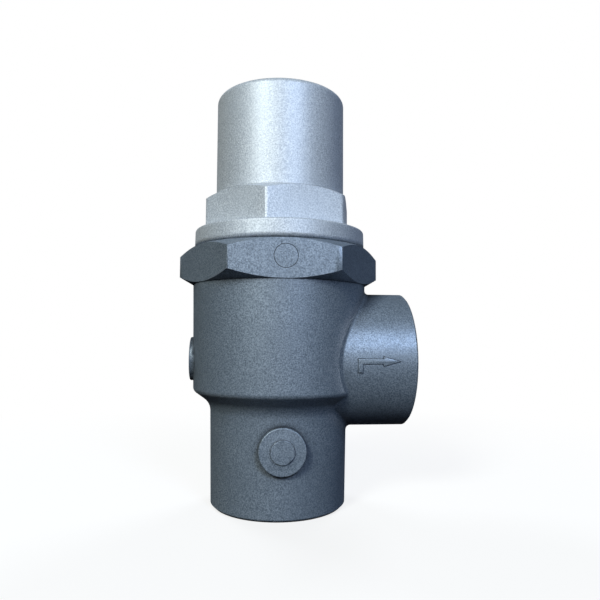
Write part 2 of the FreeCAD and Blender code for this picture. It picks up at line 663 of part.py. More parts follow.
def make_check_valve():
    """Poppet with its stem, the plate and screw that clamp its seal, and its circlip."""
    make_turned("check_poppet", [
        ("Places.screw_hole_radius", "Places.check_seal_top"),
        ("Places.poppet_radius", "Places.check_seal_top"),
        ("Places.poppet_radius", "Places.poppet_top"),
        ("Sizes.stem_radius", "Places.poppet_top"),
        ("Sizes.stem_radius", "Places.circlip_foot"),
        ("Places.circlip_groove_radius", "Places.circlip_foot"),
        ("Places.circlip_groove_radius", "Places.circlip_top"),
        ("Sizes.stem_radius", "Places.circlip_top"),
        ("Sizes.stem_radius", "Places.stem_top - Sizes.stem_end_chamfer"),
        ("Sizes.stem_radius - Sizes.stem_end_chamfer", "Places.stem_top"),
        ("0", "Places.stem_top"),
        ("0", "Places.screw_top + Sizes.screw_tip_space"),
        ("Places.screw_hole_radius", "Places.screw_top + Sizes.screw_tip_space"),
    ])
    make_turned("seal_plate", ring_corners(
        "Places.screw_hole_radius", "Places.throat_radius - Sizes.seal_plate_clearance",
        "Places.seal_plate_foot", "Places.seal_foot"))
    screw = make_turned("seal_screw", [
        ("0", "Places.screw_foot"),
        ("Sizes.screw_head_radius", "Places.screw_foot"),
        ("Sizes.screw_head_radius", "Places.seal_plate_foot"),
        ("Sizes.screw_radius", "Places.seal_plate_foot"),
        ("Sizes.screw_radius", "Places.screw_top"),
        ("0", "Places.screw_top"),
    ])
    hexagon(screw, "socket", "Sizes.screw_socket_flats", "Places.screw_foot",
            "Sizes.screw_socket_depth", cut=True)
    make_turned("stem_circlip", ring_corners(
        "Places.circlip_groove_radius", "Sizes.stem_radius + Sizes.circlip_stand",
        "Places.circlip_foot", "Places.circlip_top"), size("circlip_wrap"))


def make_spring_seats():
    """Washer on the piston's web, and the centring seat and shims under the bonnet's roof."""
    make_turned("lower_spring_washer", ring_corners(
        "Places.hub_radius + Sizes.washer_clearance", "Places.cup_radius - Sizes.washer_clearance",
        "Places.web_top", "Places.main_spring_foot"))
    spigot = "Places.main_spring_inside - Sizes.washer_clearance"
    spigot_foot = "Places.main_spring_top - Sizes.upper_seat_spigot"
    make_turned("upper_spring_seat", [
        ("Sizes.upper_seat_hole", spigot_foot),
        (spigot, spigot_foot),
        (spigot, "Places.main_spring_top"),
        ("Places.seat_reach", "Places.main_spring_top"),
        ("Places.seat_reach", "Places.shim_foot"),
        ("Sizes.upper_seat_hole", "Places.shim_foot"),
    ])
    shims = doc.addObject("Part::Compound", "preload_shims")
    shims.Links = [make_shim(index) for index in range(round(size("shim_count")))]


def make_shim(index):
    """One shim washer of the stack, counted upwards."""
    blank = doc.addObject("Part::Cylinder", "shim_blank")
    hole = doc.addObject("Part::Cylinder", "shim_hole")
    blank.setExpression("Radius", "Places.seat_reach")
    hole.setExpression("Radius", "Sizes.upper_seat_hole")
    for cylinder in (blank, hole):
        cylinder.setExpression("Height", "Sizes.shim_thickness")
        cylinder.setExpression(".Placement.Base.z", "Places.shim_foot + %d * Sizes.shim_thickness" % index)
    shim = doc.addObject("Part::Cut", "shim")
    shim.Base = blank
    shim.Tool = hole
    return shim


def coil_height(turn_count, turns, closed_rise, length):
    """Rise of a compression spring's wire, with one closed coil at each end."""
    if turn_count < 1:
        return closed_rise * turn_count
    if turn_count > turns - 1:
        return length - closed_rise * (turns - turn_count)
    return closed_rise + (length - 2 * closed_rise) * (turn_count - 1) / (turns - 2)


def make_spring(label, wire_radius, coil_radius, turns, foot, top):
    """Compression spring with closed ends ground flat, swept along short straight runs."""
    runs_per_turn = 12
    wire_sides = 8
    ground = wire_radius / 2
    length = top - foot + 2 * ground - 2 * wire_radius
    points = []
    for index in range(round(turns * runs_per_turn) + 1):
        turned = index / runs_per_turn
        angle = 2 * math.pi * turned
        height = foot - ground + wire_radius + coil_height(turned, turns, 2 * wire_radius, length)
        points.append(FreeCAD.Vector(coil_radius * math.cos(angle), coil_radius * math.sin(angle), height))
    path = Part.makePolygon(points)
    along = (points[1] - points[0]).normalize()
    outwards = FreeCAD.Vector(1, 0, 0)
    upwards = along.cross(outwards).normalize()
    section = []
    for index in range(wire_sides + 1):
        angle = 2 * math.pi * (index + 0.5) / wire_sides
        section.append(points[0] + (outwards * math.cos(angle) + upwards * math.sin(angle)) * wire_radius)
    wire = path.makePipeShell([Part.makePolygon(section)], True, False, 1)
    between = Part.makeCylinder(coil_radius + 2 * wire_radius, top - foot, FreeCAD.Vector(0, 0, foot))
    spring = doc.addObject("Part::Feature", label)
    spring.Shape = wire.common(between).Solids[0]


def make_springs():
    gap = size("spring_end_gap")
    make_spring("main_spring", size("main_wire_radius"), size("main_coil_radius"), size("main_turns"),
                size("main_spring_foot") + gap, size("main_spring_top") - gap)
    make_spring("check_spring", size("check_wire_radius"), size("check_coil_radius"), size("check_turns"),
                size("poppet_top") + gap, size("check_spring_top") - gap)


NODES = [
    "valve_body", "spring_bonnet", "bonnet_o_ring", "main_spring", "upper_spring_seat",
    "preload_shims", "lower_spring_washer", "lift_stop_ring", "valve_piston", "piston_o_ring",
    "piston_back_up_ring", "piston_guide_ring", "piston_face_seal", "stem_bush", "check_poppet",
    "check_seal", "seal_plate", "seal_screw", "check_spring", "stem_circlip",
]


def check_document():
    """Stop if any object of the document failed, or any piece has no sound shape."""
    for item in doc.Objects:
        if "Invalid" in item.State or "Error" in item.State:
            raise RuntimeError("%s failed: %s" % (item.Name, item.State))
    for label in NODES:
        shape = doc.getObjectsByLabel(label)[0].Shape
        if shape.isNull() or not shape.isValid() or not shape.Solids:
            raise RuntimeError(label + " has no valid solid")


def write_pieces():
    os.makedirs("parts", exist_ok=True)
    for label in NODES:
        shape = doc.getObjectsByLabel(label)[0].Shape
        shape.exportStep("parts/%s.step" % label)
        print("%s: %d solid, %.1f mm3" % (label, len(shape.Solids), shape.Volume))


make_valve_body()
make_spring_bonnet()
make_seals()
make_piston()
make_check_valve()
make_spring_seats()
make_springs()
doc.recompute()
check_document()
write_pieces()
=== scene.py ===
# %% [markdown]
# A minimum pressure valve, dressed for its picture.
# The valve is a dark cast angle body on its inlet neck, with a silver screwed bonnet on top.
# The construction comes as a fixed frame of solids, so this lesson is about what a solid lacks:
# clean shading on turned surfaces, a blasted and anodised skin, threads in the ports, the cast
# flow arrow, real spring wire, and light that shows all of it.

import math

import bmesh
import bpy
from mathutils import Matrix, Vector
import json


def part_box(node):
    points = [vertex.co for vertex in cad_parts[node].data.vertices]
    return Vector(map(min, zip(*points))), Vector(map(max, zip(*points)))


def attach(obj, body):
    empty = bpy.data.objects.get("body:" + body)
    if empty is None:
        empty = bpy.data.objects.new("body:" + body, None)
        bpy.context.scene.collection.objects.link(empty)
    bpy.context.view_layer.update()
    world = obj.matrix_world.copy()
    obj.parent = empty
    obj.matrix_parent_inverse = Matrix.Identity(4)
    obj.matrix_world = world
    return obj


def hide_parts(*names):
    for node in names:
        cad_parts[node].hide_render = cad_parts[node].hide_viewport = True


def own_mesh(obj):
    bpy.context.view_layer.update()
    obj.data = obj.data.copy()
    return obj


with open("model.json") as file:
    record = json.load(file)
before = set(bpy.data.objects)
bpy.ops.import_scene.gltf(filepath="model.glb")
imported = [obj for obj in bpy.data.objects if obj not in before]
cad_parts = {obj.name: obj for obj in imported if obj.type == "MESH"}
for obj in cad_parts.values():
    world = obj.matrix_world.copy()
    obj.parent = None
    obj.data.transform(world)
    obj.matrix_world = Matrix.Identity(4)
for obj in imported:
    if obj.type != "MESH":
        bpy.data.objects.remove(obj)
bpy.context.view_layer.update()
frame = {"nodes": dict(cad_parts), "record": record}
MM = 0.001
ROUND_STEPS = 64
FINE_ROUND_STEPS = 256

# %% [markdown]
# Everything is worked out from a few sizes of the real valve. Where a piece meets a solid, its
# place is read from that solid's box or from a mount. The few radii below belong to the solids too.

# %% Sizes read from the frame
body_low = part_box("valve_body")[0]
mounts = {mount["name"]: mount for mount in frame["record"]["mounts"]}
INLET = mounts["inlet_port"]
OUTLET = mounts["outlet_port"]
OUTLET_HEIGHT = OUTLET["pos_m"][2]
OUTLET_BOSS_RADIUS = 22.75 * MM
COLLAR_FACE = body_low.y
SPANNER_WIDTH = 46.4
SPANNER_CORNER_RADIUS = 26.5

print("outlet axis at", round(OUTLET_HEIGHT / MM, 1), "mm")

# %% [markdown]
# Operators act on whatever is selected, and loading the frame leaves its solids selected. So a
# few small helpers come first: one clears the selection, one enters edit mode on a single piece,
# and one selects edges or faces by a test on their place.

# %% Helpers for working by hand


def clear_selection():
    if bpy.context.object and bpy.context.object.mode != "OBJECT":
        bpy.ops.object.mode_set(mode="OBJECT")
    bpy.ops.object.select_all(action="DESELECT")


def work_on(piece):
    """Make one piece the only selected and active one."""
    clear_selection()
    piece.select_set(True)
    bpy.context.view_layer.objects.active = piece


def enter_edit(piece, mode="FACE"):
    work_on(piece)
    bpy.ops.object.mode_set(mode="EDIT")
    bpy.ops.mesh.select_mode(type=mode)


def leave_edit():
    bpy.ops.object.mode_set(mode="OBJECT")


def pick(piece, kind, test):
    """Select the vertices, edges or faces, in edit mode, whose middle passes a test."""
    bpy.ops.mesh.select_all(action="DESELECT")
    mesh = bmesh.from_edit_mesh(piece.data)
    for part in {"VERT": mesh.verts, "EDGE": mesh.edges, "FACE": mesh.faces}[kind]:
        if kind == "VERT":
            middle = part.co
        elif kind == "EDGE":
            middle = (part.verts[0].co + part.verts[1].co) / 2
        else:
            middle = part.calc_center_median()
        if test(middle):
            part.select_set(True)
    bmesh.update_edit_mesh(piece.data)


def apply_modifier(piece, kind, **settings):
    """Add a modifier, set it up and apply it."""
    work_on(piece)
    modifier = piece.modifiers.new(kind.lower(), kind)
    for name, value in settings.items():
        setattr(modifier, name, value)
    bpy.ops.object.modifier_apply(modifier=modifier.name)


def settle(piece, name):
    """Put a piece's place into its mesh and give it its name."""
    work_on(piece)
    bpy.ops.object.transform_apply(location=True, rotation=True, scale=True)
    piece.name = name
    piece.data.name = name
    return piece


def dress(piece, material, body, slot, *nodes):
    """Give a piece its material, the body that it rides on and the nodes that it stands for."""
    piece.data.materials.clear()
    piece.data.materials.append(material)
    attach(piece, body)
    if nodes:
        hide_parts(*nodes)
    print(piece.name, "faces:", len(piece.data.polygons))


# %% [markdown]
# The camera stands where the photographer's did: close, a little to the left, low, and tilted up
# by three and a half degrees. That is why the bonnet's top curves down at its sides
# and the round neck curves down at its foot. The focal length and the place come from fitting
# the valve's own outline, so the numbers are uneven.

# %% Camera
CAMERA_PLACE = Vector((-11.02, -192.52, 57.31)) * MM
CAMERA_TURN = math.radians(-5.298)
CAMERA_PITCH = math.radians(3.547)
CAMERA_ROLL = math.radians(0.35)
SENSOR_WIDTH = 36.0
FOCAL_SHARE = 549.1 / 600
SENSOR_SHIFT = 0.0023

camera_data = bpy.data.cameras.new("photo_camera")
camera_data.sensor_fit = "HORIZONTAL"
camera_data.sensor_width = SENSOR_WIDTH
camera_data.lens = SENSOR_WIDTH * FOCAL_SHARE
camera_data.shift_x = SENSOR_SHIFT
camera_data.clip_start = 0.005
camera_data.clip_end = 20.0
camera = bpy.data.objects.new("photo_camera", camera_data)
bpy.context.scene.collection.objects.link(camera)
camera.matrix_world = (
    Matrix.Translation(CAMERA_PLACE)
    @ Matrix.Rotation(CAMERA_TURN, 4, "Z")
    @ Matrix.Rotation(math.pi / 2 + CAMERA_PITCH, 4, "X")
    @ Matrix.Rotation(CAMERA_ROLL, 4, "Z")
)
bpy.context.scene.camera = camera
print("lens:", round(camera_data.lens, 2), "mm")

# %% [markdown]
# A material here is a small tree of nodes. Each one starts with the piece's own coordinates in
# metres, so that a grain of 0.4 mm is that size on every piece. These helpers add a node and join
# it up in one line.

# %% Helpers for materials


class Finish:
    """A material under construction: its tree, its shader and the coordinates it reads."""

    def __init__(self, name, roughness, metallic):
        self.material = bpy.data.materials.new(name)
        self.material.use_nodes = True
        self.tree = self.material.node_tree
        self.shader = self.tree.nodes["Principled BSDF"]
        self.shader.inputs["Roughness"].default_value = roughness
        self.shader.inputs["Metallic"].default_value = metallic
        self.place = self.tree.nodes.new("ShaderNodeTexCoord").outputs["Object"]

    def join(self, source, target):
        self.tree.links.new(source, target)

    def noise(self, size, detail=2.0, stretch=(1, 1, 1), roughness=0.5):
        """Noise whose lumps are about the given size in metres, from 0 to 1."""
        mapping = self.tree.nodes.new("ShaderNodeMapping")
        mapping.inputs["Scale"].default_value = [share / size for share in stretch]
        texture = self.tree.nodes.new("ShaderNodeTexNoise")
        texture.inputs["Scale"].default_value = 1.0
        texture.inputs["Detail"].default_value = detail
        texture.inputs["Roughness"].default_value = roughness
        self.join(self.place, mapping.inputs["Vector"])
        self.join(mapping.outputs["Vector"], texture.inputs["Vector"])
        return texture.outputs["Fac"]

    def levels(self, source, low, high, start=0.0, end=1.0):
        """Spread a value between two levels over another range."""
        node = self.tree.nodes.new("ShaderNodeMapRange")
        node.inputs["From Min"].default_value = low
        node.inputs["From Max"].default_value = high
        node.inputs["To Min"].default_value = start
        node.inputs["To Max"].default_value = end
        self.join(source, node.inputs["Value"])
        return node.outputs["Result"]

    def mix(self, factor, first, second):
        """Blend two colours, each a value or another node's output, by a factor."""
        node = self.tree.nodes.new("ShaderNodeMix")
        node.data_type = "RGBA"
        sockets = [socket for socket in node.inputs if socket.type == "RGBA"]
        self.join(factor, node.inputs["Factor"])
        for socket, colour in zip(sockets, (first, second)):
            if isinstance(colour, bpy.types.NodeSocket):
                self.join(colour, socket)
            else:
                socket.default_value = (*colour, 1.0)
        return next(socket for socket in node.outputs if socket.type == "RGBA")

    def hollows(self, reach):
        """Read how open a point is, from 0 deep in a crease to 1 on an open surface."""
        node = self.tree.nodes.new("ShaderNodeAmbientOcclusion")
        node.only_local = True
        node.inputs["Distance"].default_value = reach
        return node.outputs["AO"]

    def bump(self, source, depth, strength=1.0, below=None):
        node = self.tree.nodes.new("ShaderNodeBump")
        node.inputs["Strength"].default_value = strength
        node.inputs["Distance"].default_value = depth
        self.join(source, node.inputs["Height"])
        if below:
            self.join(below, node.inputs["Normal"])
        return node.outputs["Normal"]

    def finish(self, colour=None, normal=None, roughness=None):
        if colour:
            self.join(colour, self.shader.inputs["Base Color"])
        if normal:
            self.join(normal, self.shader.inputs["Normal"])
        if roughness:
            self.join(roughness, self.shader.inputs["Roughness"])
        return self.material


# %% [markdown]
# The body is an aluminium casting, blasted all over and then anodised to a dark blue-grey. Close
# up it sparkles with grains of about 0.4 mm, some lighter and some darker, over slow clouds where
# the blasting was uneven. The anodic layer is a thin glassy skin, so the metal shows through only
# in part. Its creases are painted almost black with painted shade, set by how enclosed each point is.

# %% Dark casting finish
GRAIN_LEVELS = (0.36, 0.66)
CLOUD_LEVELS = (0.35, 0.65)
EVEN_LEVELS = (0.3, 0.7)
CREASE_REACH = 8 * MM
CREASE_LEVELS = (0.5, 0.97)
CASTING_DARK_GRAIN = (0.115, 0.147, 0.192)
CASTING_LIGHT_GRAIN = (0.33, 0.39, 0.475)
CASTING_CLOUD = (0.17, 0.21, 0.265)
CASTING_PAINTED_SHADE = (0.006, 0.008, 0.012)


def make_casting_finish():
    finish = Finish("dark_blasted_casting", roughness=0.45, metallic=0.4)
    grain = finish.noise(0.42 * MM, detail=2.0, roughness=0.7)
    pits = finish.noise(1.3 * MM, detail=3.0, roughness=0.6)
    clouds = finish.noise(17 * MM, detail=2.0)
    speckled = finish.mix(finish.levels(grain, *GRAIN_LEVELS), CASTING_DARK_GRAIN, CASTING_LIGHT_GRAIN)
    cloud_share = finish.levels(clouds, *CLOUD_LEVELS, start=0.0, end=0.35)
    clouded = finish.mix(cloud_share, speckled, CASTING_CLOUD)
    # Painted shade: creases and recesses are painted almost black, by how enclosed each point is.
    open_share = finish.levels(finish.hollows(CREASE_REACH), *CREASE_LEVELS)
    with_painted_shade = finish.mix(open_share, CASTING_PAINTED_SHADE, clouded)
    rough = finish.levels(pits, *EVEN_LEVELS, start=0.41, end=0.49)
    normal = finish.bump(pits, 0.05 * MM, 0.5)
    normal = finish.bump(grain, 0.04 * MM, 0.8, normal)
    return finish.finish(with_painted_shade, normal, rough)


# %% [markdown]
# The bonnet is the same metal, turned, blasted finely and anodised clear. It is much lighter, and
# its surface is smoother. Only its tight inner corners are painted darker, as painted shade.

# %% Silver bonnet finish
CORNER_REACH = 0.9 * MM
CORNER_LEVELS = (0.45, 0.9)
BONNET_DARK_GRAIN = (0.36, 0.40, 0.465)
BONNET_LIGHT_GRAIN = (0.74, 0.78, 0.84)
BONNET_CLOUD = (0.55, 0.60, 0.675)
BONNET_PAINTED_SHADE = (0.04, 0.045, 0.055)


def make_bonnet_finish():
    finish = Finish("silver_blasted_bonnet", roughness=0.52, metallic=0.32)
    grain = finish.noise(0.45 * MM, detail=2.0, roughness=0.7)
    clouds = finish.noise(14 * MM, detail=2.0)
    speckled = finish.mix(finish.levels(grain, *GRAIN_LEVELS), BONNET_DARK_GRAIN, BONNET_LIGHT_GRAIN)
    cloud_share = finish.levels(clouds, *CLOUD_LEVELS, start=0.0, end=0.3)
    clouded = finish.mix(cloud_share, speckled, BONNET_CLOUD)
    # Painted shade: tight inner corners are painted darker, by how enclosed each point is.
    open_share = finish.levels(finish.hollows(CORNER_REACH), *CORNER_LEVELS)
    with_painted_shade = finish.mix(open_share, BONNET_PAINTED_SHADE, clouded)
    rough = finish.levels(grain, *EVEN_LEVELS, start=0.49, end=0.57)
    normal = finish.bump(grain, 0.03 * MM, 0.6)
    return finish.finish(with_painted_shade, normal, rough)


casting_finish = make_casting_finish()
bonnet_finish = make_bonnet_finish()

# %% [markdown]
# The inner pieces are turned steel, bronze, rubber and plastic. Turning leaves fine rings, so
# their noise is stretched: short along the axis and long around it.

# %% Finishes of the inner pieces


def make_turned_finish(name, dark, light, roughness, metallic):
    finish = Finish(name, roughness, metallic)
    rings = finish.noise(0.12 * MM, detail=2.0, stretch=(0.02, 0.02, 1))
    tone = finish.mix(finish.levels(rings, *EVEN_LEVELS), dark, light)
    normal = finish.bump(rings, 0.004 * MM, 0.5)
    return finish.finish(tone, normal)


def make_soft_finish(name, dark, light, roughness):
    finish = Finish(name, roughness, 0.0)
    skin = finish.noise(0.5 * MM, detail=3.0)
    tone = finish.mix(finish.levels(skin, *EVEN_LEVELS), dark, light)
    normal = finish.bump(skin, 0.01 * MM, 0.4)
    return finish.finish(tone, normal)


steel_finish = make_turned_finish("turned_steel", (0.42, 0.42, 0.43), (0.60, 0.60, 0.62), 0.3, 1.0)
wire_finish = make_turned_finish("spring_wire", (0.22, 0.22, 0.24), (0.34, 0.34, 0.36), 0.35, 1.0)
piston_finish = make_turned_finish("hard_anodised_piston", (0.30, 0.30, 0.29), (0.42, 0.42, 0.40), 0.4, 0.6)
bronze_finish = make_turned_finish("sintered_bronze", (0.38, 0.22, 0.08), (0.58, 0.36, 0.15), 0.45, 1.0)
rubber_finish = make_soft_finish("black_rubber", (0.012, 0.012, 0.012), (0.03, 0.03, 0.03), 0.5)
plastic_finish = make_soft_finish("filled_plastic", (0.62, 0.60, 0.54), (0.75, 0.73, 0.67), 0.45)

SLOT_FINISHES = {
    "body_casting": casting_finish,
    "bonnet_alloy": bonnet_finish,
    "turned_steel": steel_finish,
    "spring_steel": wire_finish,
    "piston_alloy": piston_finish,
    "bush_bronze": bronze_finish,
    "seal_rubber": rubber_finish,
    "guide_plastic": plastic_finish,
}

for entry in frame["record"]["subparts"]:
    node = frame["nodes"][entry["node"]]
    node.data.materials.clear()
    node.data.materials.append(SLOT_FINISHES[entry["material_slot"]])

# %% [markdown]
# The two outer solids have the right shape, but their meshes are loose triangles, and a turned
# surface made of loose triangles shows its facets. A copy is merged at its doubled points and
# shaded smooth up to an angle, and a weighted normal keeps flat faces flat next to a round edge.

# %% Merged copies of the outer solids
SMOOTH_UP_TO = math.radians(28)
MERGE_WITHIN = 0.002 * MM


def merged_copy(node, name):
    source = frame["nodes"][node]
    piece = bpy.data.objects.new(name, source.data.copy())
    bpy.context.scene.collection.objects.link(piece)
    enter_edit(piece, "VERT")
    bpy.ops.mesh.select_all(action="SELECT")
    bpy.ops.mesh.remove_doubles(threshold=MERGE_WITHIN)
    bpy.ops.mesh.dissolve_degenerate(threshold=MERGE_WITHIN)
    leave_edit()
    return piece


def shade_turned(piece):
    work_on(piece)
    bpy.ops.object.shade_smooth_by_angle(angle=SMOOTH_UP_TO)
    apply_modifier(piece, "WEIGHTED_NORMAL", keep_sharp=True, mode="FACE_AREA_WITH_ANGLE")


cast_body = merged_copy("valve_body", "cast_body")
bonnet = merged_copy("spring_bonnet", "screwed_bonnet")

# %% [markdown]
# Where a boss, a mark or a hexagon meets a round wall, the wall's triangles become long and
# uneven, and their averaged normals show as facets. On a cylinder or a cone the true direction is
# known: away from the axis, tilted by the wall's slope. Each corner there gets exactly that.

# %% True normals on round walls
UP = Vector((0, 0, 1))
SIDEWAYS = Vector((1, 0, 0))
MIDDLE = Vector((0, 0, 0))
OUTLET_MIDDLE = Vector((0, 0, OUTLET_HEIGHT))
CHAMFER_RISE = math.cos(math.radians(30))
NECK_SLOPE = -0.0177
BARREL_SLOPE = -0.0154
WALL_MARGIN = 0.1
COLLAR_FLAT_RADIUS = 29.5
COLLAR_CORNER_RADIUS = 34.7
SLOPE_AGREES = 0.04
WALL_AGREES = math.cos(math.radians(20))


class Wall:
    """A cone or cylinder: its axis, the radii it lies between and its normal's part along the axis."""

    def __init__(self, axis, origin, low, high, slope):
        self.axis = axis
        self.origin = origin
        self.low = low * MM
        self.high = high * MM
        self.slope = slope

    def away(self, place):
        across = place - self.origin
        return across - self.axis * across.dot(self.axis)

    def holds(self, face, places):
        """Say whether a face with corners at some places is part of this wall."""
        slope = face.normal.dot(self.axis)
        if abs(slope - self.slope) > SLOPE_AGREES:
            return False
        outwards = (face.normal - self.axis * slope).normalized()
        ways = [self.away(place) for place in places]
        if not all(self.low < way.length < self.high for way in ways):
            return False
        return all(outwards.dot(way.normalized()) > WALL_AGREES for way in ways)

    def normal(self, place):
        return self.away(place).normalized() * math.sqrt(1 - self.slope ** 2) + self.axis * self.slope


NECK = Wall(UP, MIDDLE, 22.7, 23.45, NECK_SLOPE)
BARREL = Wall(UP, MIDDLE, 29.15, 29.8, BARREL_SLOPE)
BOSS = Wall(SIDEWAYS, OUTLET_MIDDLE, 22.6, 22.8, 0)
COLLAR_TOP = Wall(UP, MIDDLE, COLLAR_FLAT_RADIUS, COLLAR_CORNER_RADIUS, CHAMFER_RISE)
COLLAR_UNDER = Wall(UP, MIDDLE, COLLAR_FLAT_RADIUS, COLLAR_CORNER_RADIUS, -CHAMFER_RISE)
SPANNER_TOP = Wall(
    UP, MIDDLE, SPANNER_WIDTH / 2 - WALL_MARGIN, SPANNER_CORNER_RADIUS + WALL_MARGIN, CHAMFER_RISE,
)


def true_walls(piece, *walls):
    """Give the corners of round walls their exact normals."""
    mesh = piece.data
    normals = [corner.vector.copy() for corner in mesh.corner_normals]
    mended = 0
    for face in mesh.polygons:
        places = [mesh.vertices[index].co for index in face.vertices]
        wall = next((wall for wall in walls if wall.holds(face, places)), None)
        if not wall:
            continue
        mended += 1
        for corner in face.loop_indices:
            normals[corner] = wall.normal(mesh.vertices[mesh.loops[corner].vertex_index].co)
    mesh.normals_split_custom_set(normals)
    print(piece.name, "has", mended, "faces on round walls")


# %% [markdown]
# On the collar's front flat a round stamp left a thin circle. Here the place stays blank, so the
# mark is a plain ring that a ring-shaped tool cuts 0.15 mm deep. The tool starts as a cylinder
# whose end is inset and pushed in, and a boolean takes it away from the body.

# %% Blank round stamp on the collar
STAMP_RADIUS = 3.75 * MM
STAMP_LINE = 0.2 * MM
STAMP_DEPTH = 0.15 * MM
STAMP_TOOL_LENGTH = 2 * MM
STAMP_PLACE = Vector((0.25 * MM, COLLAR_FACE, 80.75 * MM))


def make_stamp_tool():
    clear_selection()
    bpy.ops.mesh.primitive_cylinder_add(
        vertices=ROUND_STEPS, radius=STAMP_RADIUS, depth=STAMP_TOOL_LENGTH,
        location=STAMP_PLACE + Vector((0, STAMP_DEPTH - STAMP_TOOL_LENGTH / 2, 0)),
        rotation=(math.pi / 2, 0, 0),
    )
    tool = settle(bpy.context.object, "stamp_tool")
    enter_edit(tool)
    pick(tool, "FACE", lambda middle: middle.y > COLLAR_FACE + STAMP_DEPTH / 2)
    bpy.ops.mesh.inset(thickness=STAMP_LINE)
    bpy.ops.mesh.extrude_region_move(TRANSFORM_OT_translate={"value": (0, -2 * STAMP_DEPTH, 0)})
    leave_edit()
    return tool


def cut_away(piece, tool):
    apply_modifier(piece, "BOOLEAN", object=tool, operation="DIFFERENCE", solver="EXACT")
    bpy.data.objects.remove(tool)


cut_away(cast_body, make_stamp_tool())

# %% [markdown]
# The raised flow arrow on the outlet boss shows the way that the air turns: up from the inlet
# and out to the side. It is drawn flat, by extruding edges from one small plane, then given
# depth and cut to a cylinder that is a little larger than the boss. So its face follows the
# boss's curve and it stands proud by the same amount everywhere. A fine groove runs round it.

# %% Flow arrow
ARROW_LEFT = 24.3 * MM
ARROW_HEIGHT = 48.9 * MM
ARROW_TIP = 36.9 * MM
ARROW_HEAD_LENGTH = 5.2 * MM
ARROW_HEAD_WIDTH = 2.9 * MM
ARROW_LINE = 1.5 * MM
ARROW_LEG_FOOT = 45.4 * MM
ARROW_STAND = 0.4 * MM
ARROW_EDGE = 0.06 * MM
ARROW_ROOT = 0.55 * MM
ARROW_SHARP_FROM = math.radians(40)
ARROW_BLOCK = 6 * MM
ARROW_TOOL_LENGTH = 60 * MM
GROOVE_WIDTH = 0.16 * MM


def extrude_edge(piece, test, move):
    pick(piece, "EDGE", test)
    bpy.ops.mesh.extrude_region_move(TRANSFORM_OT_translate={"value": move})


def draw_flow_arrow():
    """Draw the arrow flat, inside the boss's wall, and pull it out past the wall."""
    inside = -OUTLET_BOSS_RADIUS + ARROW_ROOT
    clear_selection()
    bpy.ops.mesh.primitive_plane_add(
        size=ARROW_LINE, location=(ARROW_LEFT, inside, ARROW_HEIGHT), rotation=(math.pi / 2, 0, 0),
    )
    arrow = settle(bpy.context.object, "flow_arrow")
    enter_edit(arrow, "EDGE")
    half = ARROW_LINE / 2
    near = 0.01 * MM
    extrude_edge(arrow, lambda middle: middle.z < ARROW_HEIGHT - half + near,
                 (0, 0, ARROW_LEG_FOOT - ARROW_HEIGHT + half))
    shaft = ARROW_TIP - ARROW_HEAD_LENGTH - ARROW_LEFT - half
    extrude_edge(
        arrow,
        lambda middle: middle.x > ARROW_LEFT + half - near and middle.z > ARROW_HEIGHT - near,
        (shaft, 0, 0),
    )
    extrude_edge(arrow, lambda middle: middle.x > ARROW_TIP - ARROW_HEAD_LENGTH - near, (near, 0, 0))
    bpy.ops.transform.resize(value=(1, 1, ARROW_HEAD_WIDTH / ARROW_LINE))
    bpy.ops.mesh.extrude_region_move(TRANSFORM_OT_translate={"value": (ARROW_HEAD_LENGTH, 0, 0)})
    bpy.ops.mesh.merge(type="CENTER")
    bpy.ops.mesh.select_all(action="SELECT")
    bpy.ops.mesh.extrude_region_move(TRANSFORM_OT_translate={"value": (0, -ARROW_BLOCK, 0)})
    bpy.ops.mesh.select_all(action="SELECT")
    bpy.ops.mesh.normals_make_consistent(inside=False)
    leave_edit()
    return arrow


def cut_to_boss(arrow):
    """Keep what lies inside a cylinder that is a little larger than the boss."""
    clear_selection()
    bpy.ops.mesh.primitive_cylinder_add(
        vertices=FINE_ROUND_STEPS, radius=OUTLET_BOSS_RADIUS + ARROW_STAND, depth=ARROW_TOOL_LENGTH,
        location=(ARROW_TIP, 0, OUTLET_HEIGHT), rotation=(0, math.pi / 2, 0),
    )
    tool = settle(bpy.context.object, "arrow_tool")
    apply_modifier(arrow, "BOOLEAN", object=tool, operation="INTERSECT", solver="EXACT")
    bpy.data.objects.remove(tool)


def make_groove_tool(arrow):
    """Widen a copy of the arrow, to cut the groove round it."""
    work_on(arrow)
    bpy.ops.object.duplicate()
    tool = bpy.context.object
    enter_edit(tool)
    bpy.ops.mesh.select_all(action="SELECT")
    bpy.ops.transform.shrink_fatten(value=GROOVE_WIDTH, use_even_offset=True)
    leave_edit()
    print("groove tool reaches", [round(side / MM, 2) for side in tool.dimensions])
    return tool


arrow = draw_flow_arrow()
cut_to_boss(arrow)
print("arrow reaches", [round(side / MM, 2) for side in arrow.dimensions])
cut_away(cast_body, make_groove_tool(arrow))
apply_modifier(arrow, "BEVEL", width=ARROW_EDGE, segments=2,
               limit_method="ANGLE", angle_limit=ARROW_SHARP_FROM)
work_on(arrow)
bpy.ops.object.shade_smooth_by_angle(angle=SMOOTH_UP_TO)
dress(arrow, casting_finish, "housing", "body_casting")

# %% [markdown]
# Now that all marks are cut, the two outer pieces get their shading and their finish.

# %% Shade and dress the outer pieces
shade_turned(cast_body)
true_walls(cast_body, NECK, BARREL, BOSS, COLLAR_TOP, COLLAR_UNDER)
shade_turned(bonnet)
true_walls(bonnet, SPANNER_TOP)
dress(cast_body, casting_finish, "housing", "body_casting", "valve_body")
dress(bonnet, bonnet_finish, "housing", "bonnet_alloy", "spring_bonnet")

# %% [markdown]
# Both ports carry a female G 1 pipe thread. One tooth of its outline, a trapezoid that starts as
# a plane, is wound into the bore by a Screw modifier, one pitch for each turn.

